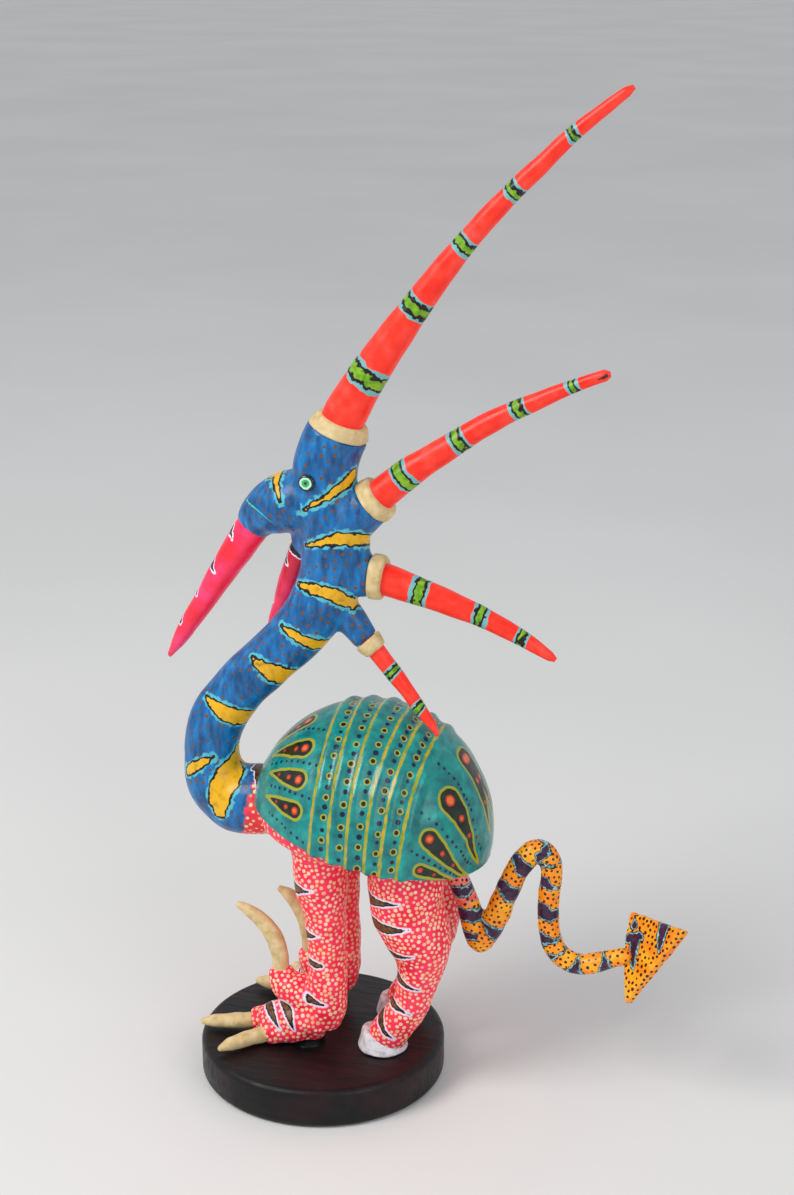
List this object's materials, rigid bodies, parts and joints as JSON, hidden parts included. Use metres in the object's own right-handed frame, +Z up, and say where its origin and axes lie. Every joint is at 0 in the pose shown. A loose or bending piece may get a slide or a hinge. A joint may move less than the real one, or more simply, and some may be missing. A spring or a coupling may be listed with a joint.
{
  "type": "alebrije figure",
  "caption": "Painted papier-mache fantasy creature with curved horns, ridged shell, clawed front feet, hoofed rear legs and zigzag arrow tail, standing on a round base.",
  "frame": {"origin": "centre of the round base's flat underside, on the surface it stands on", "axes": "+Z up, towards the tip of the top horn; the creature faces -X, and its left side is -Y"},
  "size_m": [0.2125, 0.0973, 0.387],
  "materials": {
    "base_paint": "black satin paint over turned wood, rubbed back to a maroon tint on top",
    "pink_dotted_paint": "fluorescent pink-red acrylic on papier-mache, dense cream dots, brown flecks edged in black and white",
    "blue_dotted_paint": "blue acrylic on papier-mache, rust dots, yellow patches with black and cyan edges",
    "teal_varnish": "teal acrylic under gloss varnish, yellow bands, navy dots and teardrops",
    "red_horn_paint": "fluorescent red acrylic with banded green rings",
    "magenta_beak_paint": "hot pink and red acrylic with black flecks",
    "cream_paste": "bare modelled paste stained cream, matt",
    "white_hoof_paint": "matt white acrylic",
    "orange_tail_paint": "orange acrylic, black dots, purple bands with cyan edges",
    "eye_paint": "black ring, mint ring and green centre under gloss varnish",
    "armature_wire": "galvanised wire, hidden"
  },
  "bodies": {
    "root": {"base": "base_paint", "torso": "pink_dotted_paint", "shell": "teal_varnish", "neck": "blue_dotted_paint", "head": "blue_dotted_paint", "upper_beak": "magenta_beak_paint", "lower_beak": "magenta_beak_paint", "eye_left": "eye_paint", "eye_right": "eye_paint", "collar_1": "cream_paste", "collar_2": "cream_paste", "collar_3": "cream_paste", "collar_4": "cream_paste", "horn_1": "red_horn_paint", "horn_2": "red_horn_paint", "horn_3": "red_horn_paint", "horn_4": "red_horn_paint", "front_leg_left": "pink_dotted_paint", "front_leg_right": "pink_dotted_paint", "rear_leg_left": "pink_dotted_paint", "rear_leg_right": "pink_dotted_paint", "inner_claw_left": "cream_paste", "inner_claw_right": "cream_paste", "outer_claw_left": "cream_paste", "outer_claw_right": "cream_paste", "sickle_claw_left": "cream_paste", "sickle_claw_right": "cream_paste", "hoof_left": "white_hoof_paint", "hoof_right": "white_hoof_paint", "tail": "orange_tail_paint", "tail_arrow": "orange_tail_paint", "neck_wire": "armature_wire", "tail_wire": "armature_wire", "front_leg_wire_left": "armature_wire", "front_leg_wire_right": "armature_wire", "rear_leg_wire_left": "armature_wire", "rear_leg_wire_right": "armature_wire"}
  },
  "joints": []
}
